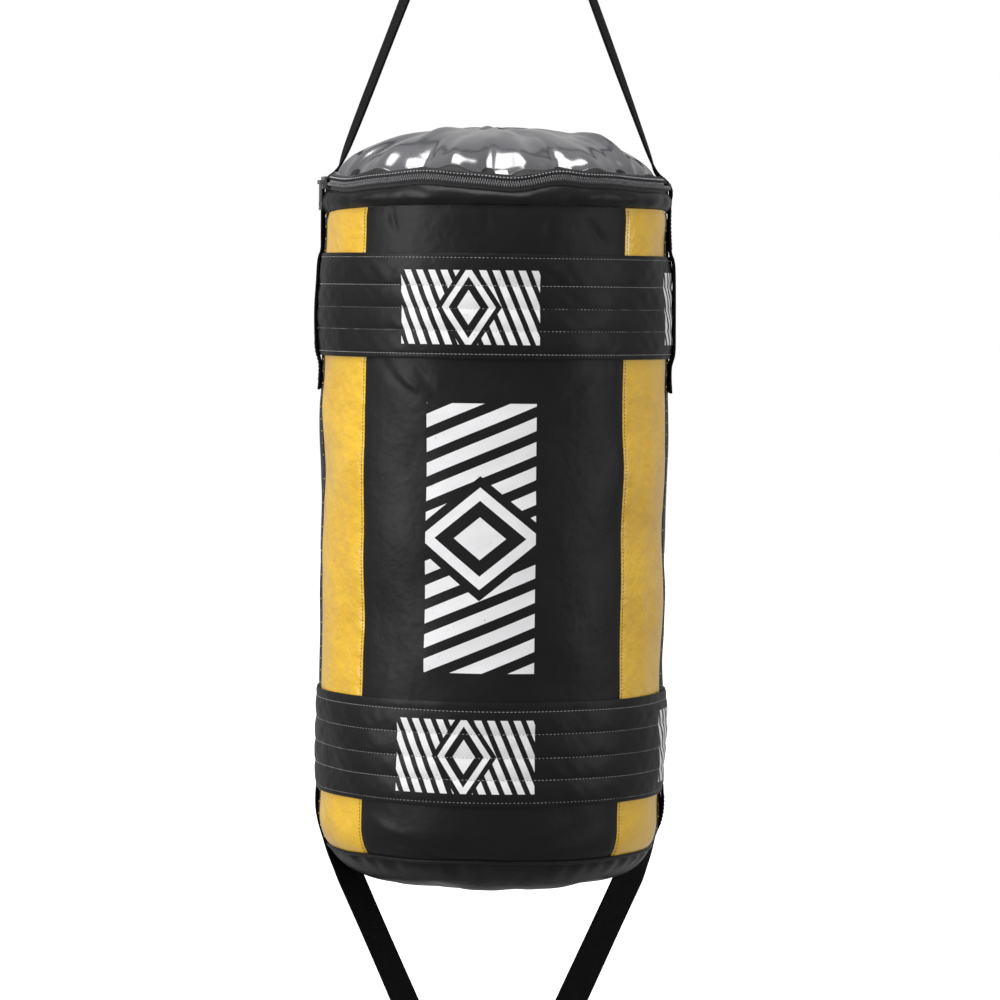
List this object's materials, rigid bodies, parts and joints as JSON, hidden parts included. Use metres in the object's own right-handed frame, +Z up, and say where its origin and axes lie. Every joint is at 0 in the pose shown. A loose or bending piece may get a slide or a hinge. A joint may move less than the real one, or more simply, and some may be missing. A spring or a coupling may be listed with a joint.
{
  "type": "heavy punching bag",
  "caption": "Stuffed cylindrical heavy bag with quilted bands, gold side strips, zipped lid and V-shaped webbing straps to a swivel hook above and an anchor hook below.",
  "frame": {"origin": "centre of the bore in the swivel eye at the top", "axes": "+Z up along the bag's upright, +Y along the eye's bore towards the bag's back; the front faces -Y"},
  "size_m": [0.3102, 0.305, 1.5337],
  "materials": {
    "zinc_steel": "bright zinc plate",
    "brass": "turned",
    "black_webbing": "woven polyester",
    "black_vinyl": "satin, fine grain",
    "gloss_black_vinyl": "glossy, creased",
    "gold_vinyl": "satin metallic gold-yellow",
    "zip_tape": "woven tape",
    "zip_coil": "nylon coil",
    "zip_metal": "black nickel",
    "canvas": "plain weave",
    "foam": "open-cell foam",
    "textile": "shredded cloth"
  },
  "bodies": {
    "ceiling_eye": {"swivel_eye": "zinc_steel"},
    "top_hook": {"swivel_barrel": "zinc_steel", "thrust_washer": "brass", "snap_hook": "zinc_steel", "gate_pin": "zinc_steel"},
    "top_gate": {"hook_gate": "zinc_steel"},
    "top_ring": {"hanging_ring": "zinc_steel"},
    "bag": {"strap_crown": "black_webbing", "hanging_strap_left": "black_webbing", "hanging_strap_right": "black_webbing", "front_panel": "black_vinyl", "back_panel": "black_vinyl", "side_panel_left": "black_vinyl", "side_panel_right": "black_vinyl", "gold_strip_front_left": "gold_vinyl", "gold_strip_front_right": "gold_vinyl", "gold_strip_back_left": "gold_vinyl", "gold_strip_back_right": "gold_vinyl", "collar": "gloss_black_vinyl", "upper_band": "black_vinyl", "lower_band": "black_vinyl", "base_cap": "gloss_black_vinyl", "base_seam_cord": "black_vinyl", "lid_back": "gloss_black_vinyl", "zip_tape_lower": "zip_tape", "zip_teeth_lower": "zip_coil", "zip_stops": "zip_metal", "liner": "canvas", "foam_sleeve": "foam", "base_pad": "foam", "textile_fill": "textile", "top_pad": "foam", "anchor_strap_left": "black_webbing", "anchor_strap_right": "black_webbing", "anchor_crown": "black_webbing"},
    "lid": {"lid_flap": "gloss_black_vinyl", "zip_tape_upper": "zip_tape", "zip_teeth_upper": "zip_coil"},
    "slider": {"zip_slider": "zip_metal"},
    "pull": {"zip_pull": "zip_metal"},
    "floor_ring": {"anchor_ring": "zinc_steel"},
    "floor_hook": {"anchor_hook": "zinc_steel", "anchor_gate_pin": "zinc_steel"},
    "floor_gate": {"anchor_gate": "zinc_steel"}
  },
  "joints": [
    {"name": "swivel_spin", "type": "hinge", "parent": "ceiling_eye", "child": "top_hook", "pos_m": [0, 0, -0.03], "axis": [0, 0, 1], "continuous": true},
    {"name": "top_gate_hinge", "type": "hinge", "parent": "top_hook", "child": "top_gate", "pos_m": [0.02, 0, -0.0796], "axis": [0, 1, 0], "range_deg": [0, 28], "stiffness_Nm_per_rad": 0.03, "springref_deg": -17.19},
    {"name": "ring_swing", "type": "hinge", "parent": "top_hook", "child": "top_ring", "pos_m": [0, 0, -0.132], "axis": [1, 0, 0], "range_deg": [-35, 35]},
    {"name": "bag_swing", "type": "hinge", "parent": "top_ring", "child": "bag", "pos_m": [0, 0, -0.1731], "axis": [0, 1, 0], "range_deg": [-35, 35]},
    {"name": "lid_fold", "type": "hinge", "parent": "bag", "child": "lid", "pos_m": [0, -0.045, -0.4831], "axis": [-1, 0, 0], "range_deg": [0, 85]},
    {"name": "zip_travel", "type": "hinge", "parent": "bag", "child": "slider", "pos_m": [0, 0, -0.5331], "axis": [0, 0, 1], "range_deg": [0, 154]},
    {"name": "pull_swing", "type": "hinge", "parent": "slider", "child": "pull", "pos_m": [-0.15142, -0.03496, -0.5326], "axis": [-0.225, 0.9744, 0], "range_deg": [0, 110]},
    {"name": "anchor_ring_swing", "type": "hinge", "parent": "bag", "child": "floor_ring", "pos_m": [0, 0, -1.3971], "axis": [0.6691, 0.7431, 0], "range_deg": [-25, 25]},
    {"name": "anchor_hook_swing", "type": "hinge", "parent": "floor_ring", "child": "floor_hook", "pos_m": [0, 0, -1.4382], "axis": [0.7431, -0.6691, 0], "range_deg": [-40, 40]},
    {"name": "anchor_gate_hinge", "type": "hinge", "parent": "floor_hook", "child": "floor_gate", "pos_m": [0.01486, -0.01338, -1.4618], "axis": [0.6691, 0.7431, 0], "range_deg": [0, 28], "stiffness_Nm_per_rad": 0.03, "springref_deg": -17.19}
  ]
}
